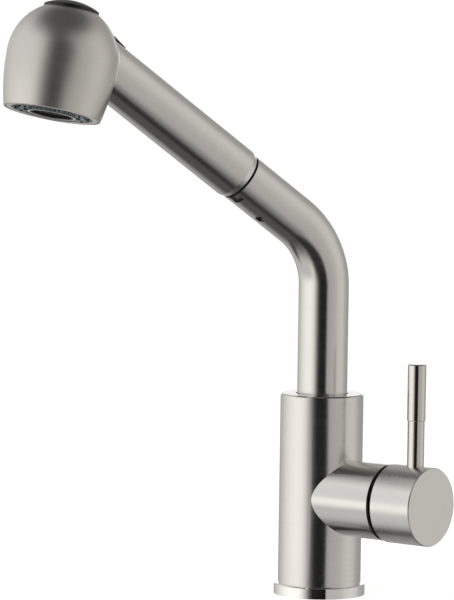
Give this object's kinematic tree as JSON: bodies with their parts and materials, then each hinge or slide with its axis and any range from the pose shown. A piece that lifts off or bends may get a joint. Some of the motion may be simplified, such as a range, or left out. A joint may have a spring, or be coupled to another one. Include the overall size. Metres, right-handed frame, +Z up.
{
  "type": "pull-down kitchen faucet",
  "caption": "Single-hole pull-down kitchen faucet with a swivelling sloped spout, a spray wand that pulls out on a hose, mode buttons and a side lever on a ceramic cartridge",
  "frame": {"origin": "centre of the foot on the deck plane, at the top of the threaded shank", "axes": "+Z up along the upright and the spout's swivel axis, +X from the upright out along the handle's axis; the spout rests 113.2 degrees clockwise from +X seen from above"},
  "size_m": [0.1832, 0.2258, 0.4007],
  "materials": {
    "brushed_nickel": "brushed",
    "polished_metal": "polished",
    "valve_steel": "satin",
    "brass": "machined",
    "rubber_black": "matte",
    "nozzle_rubber": "matte",
    "slate_plastic": "matte",
    "black_plastic": "satin",
    "natural_plastic": "satin",
    "ceramic": "lapped",
    "braided_hose": "woven sleeve"
  },
  "bodies": {
    "valve_body": {"base_ring": "polished_metal", "base_gasket": "rubber_black", "mounting_shank": "brass", "body_shell": "brushed_nickel", "supply_inlets": "brass", "swivel_sleeve": "natural_plastic", "spout_seals": "rubber_black", "top_seal": "rubber_black", "port_seals": "rubber_black", "cartridge_case": "natural_plastic", "ceramic_disc_fixed": "ceramic", "cartridge_nut": "valve_steel", "bonnet": "valve_steel", "hose_lower": "braided_hose"},
    "spindle": {"spindle": "black_plastic", "spindle_pin": "valve_steel"},
    "disc_slide": {"disc_carrier": "black_plastic", "ceramic_disc_moving": "ceramic"},
    "handle": {"handle_stem": "valve_steel", "handle_cap": "brushed_nickel", "handle_grub_screw": "valve_steel", "lever_rod": "polished_metal", "lever_grip": "polished_metal"},
    "spout": {"spout_tube": "brushed_nickel", "spout_collar": "brass", "dock_sleeve": "black_plastic", "dock_gasket": "rubber_black", "dock_screw": "valve_steel", "dock_key": "black_plastic", "hose_in_spout": "braided_hose"},
    "wand": {"wand_tube": "brushed_nickel", "wand_nose": "black_plastic", "wand_waterway": "black_plastic", "hose_ferrule": "brass", "hose_upper": "braided_hose", "check_valve": "natural_plastic", "head_shell": "brushed_nickel", "joint_ring": "polished_metal", "face_ring": "polished_metal", "spray_plate": "slate_plastic", "spray_nozzles": "nozzle_rubber", "aerator_ring": "polished_metal", "aerator_seal": "rubber_black", "aerator_screen": "valve_steel", "valve_block": "black_plastic"},
    "crown_button": {"crown_button": "black_plastic", "diverter_spool": "brass"},
    "rear_button": {"rear_button": "black_plastic"}
  },
  "joints": [
    {"name": "handle_turn", "type": "hinge", "parent": "valve_body", "child": "spindle", "pos_m": [0.0402, 0, 0.0595], "axis": [1, 0, 0], "range_deg": [-45, 45]},
    {"name": "handle_lift", "type": "hinge", "parent": "spindle", "child": "handle", "pos_m": [0.0402, 0, 0.0595], "axis": [0, 1, 0], "range_deg": [0, 20]},
    {"name": "disc_travel", "type": "slide", "parent": "spindle", "child": "disc_slide", "axis": [0, 0, 1], "range_m": [0, 0.0022]},
    {"name": "spout_swivel", "type": "hinge", "parent": "valve_body", "child": "spout", "pos_m": [0, 0, 0.1], "axis": [0, 0, 1], "continuous": true},
    {"name": "wand_pull", "type": "slide", "parent": "spout", "child": "wand", "axis": [-0.3213, -0.7497, 0.5786], "range_m": [0, 0.45]},
    {"name": "rear_press", "type": "slide", "parent": "wand", "child": "rear_button", "axis": [-0.1551, -0.5611, -0.8131], "range_m": [0, 0.001]},
    {"name": "crown_rise", "type": "slide", "parent": "wand", "child": "crown_button", "axis": [0.0228, 0.2378, 0.971], "range_m": [0, 0.001]}
  ],
  "couplings": [
    {"joint": "disc_travel", "follows": "handle_lift", "m_per_rad": 0.0063},
    {"joint": "crown_rise", "follows": "rear_press", "ratio": 1}
  ]
}
